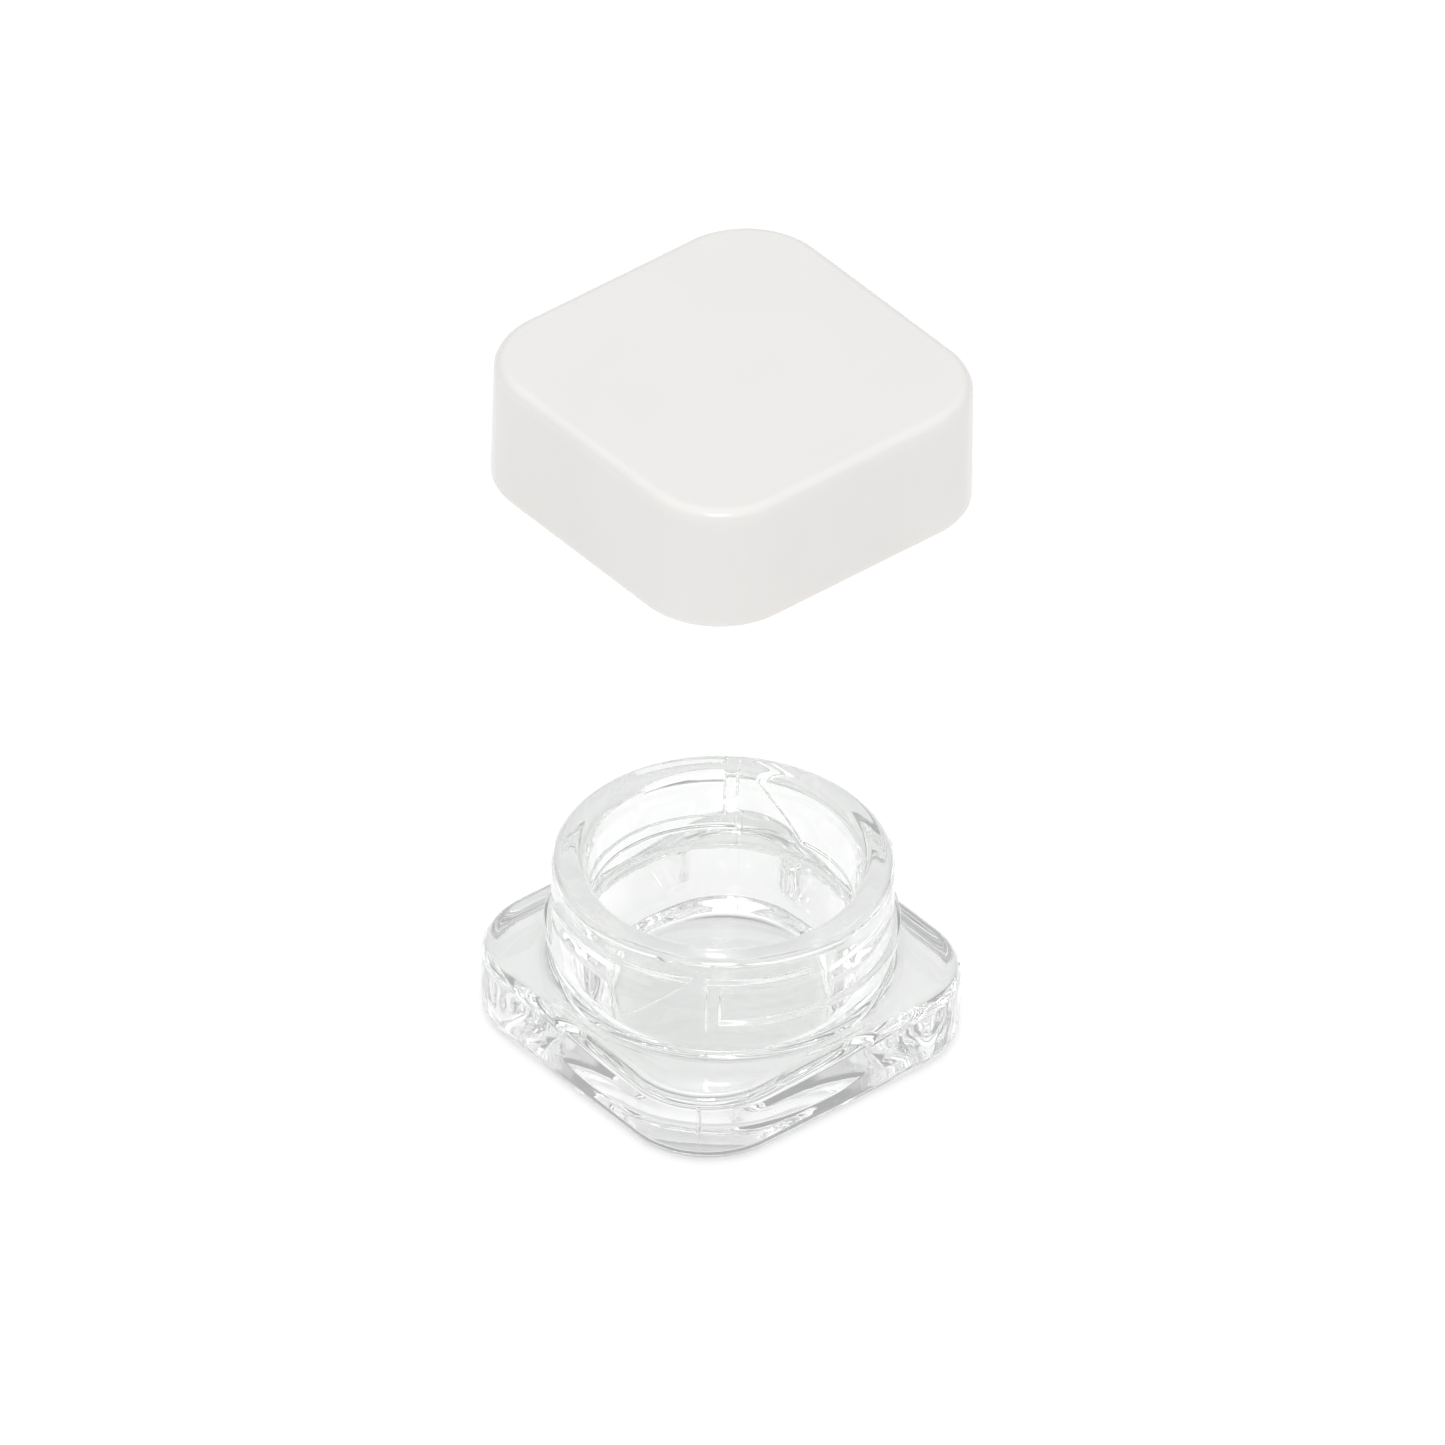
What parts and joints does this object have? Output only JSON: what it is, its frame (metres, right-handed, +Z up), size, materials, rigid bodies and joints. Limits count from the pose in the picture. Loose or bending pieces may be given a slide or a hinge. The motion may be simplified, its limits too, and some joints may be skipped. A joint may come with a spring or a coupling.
{
  "type": "specimen jar",
  "caption": "Small square glass jar with a round lugged neck and a matching square cap, lifted clear; the cap lowers and locks by a quarter turn.",
  "frame": {"origin": "middle of the jar's underside, on the neck's axis", "axes": "+Z up along the neck's axis, +X and +Y square to the sides"},
  "size_m": [0.035, 0.035, 0.0722],
  "materials": {
    "clear_glass": "clear pressed glass",
    "white_plastic": "white semi-gloss moulded plastic",
    "insert_plastic": "natural white moulded plastic",
    "seal_foam": "soft white foam sheet"
  },
  "bodies": {
    "jar": {"glass_jar": "clear_glass"},
    "seal": {"seal_disc": "seal_foam"},
    "cap": {"inner_cap": "insert_plastic", "outer_shell": "white_plastic"}
  },
  "joints": [
    {"name": "cap_lift", "type": "slide", "parent": "jar", "child": "seal", "axis": [0, 0, 1], "range_m": [-0.052, 0]},
    {"name": "cap_turn", "type": "hinge", "parent": "seal", "child": "cap", "pos_m": [0, 0, 0.07], "axis": [0, 0, 1], "range_deg": [-90, 0]}
  ]
}
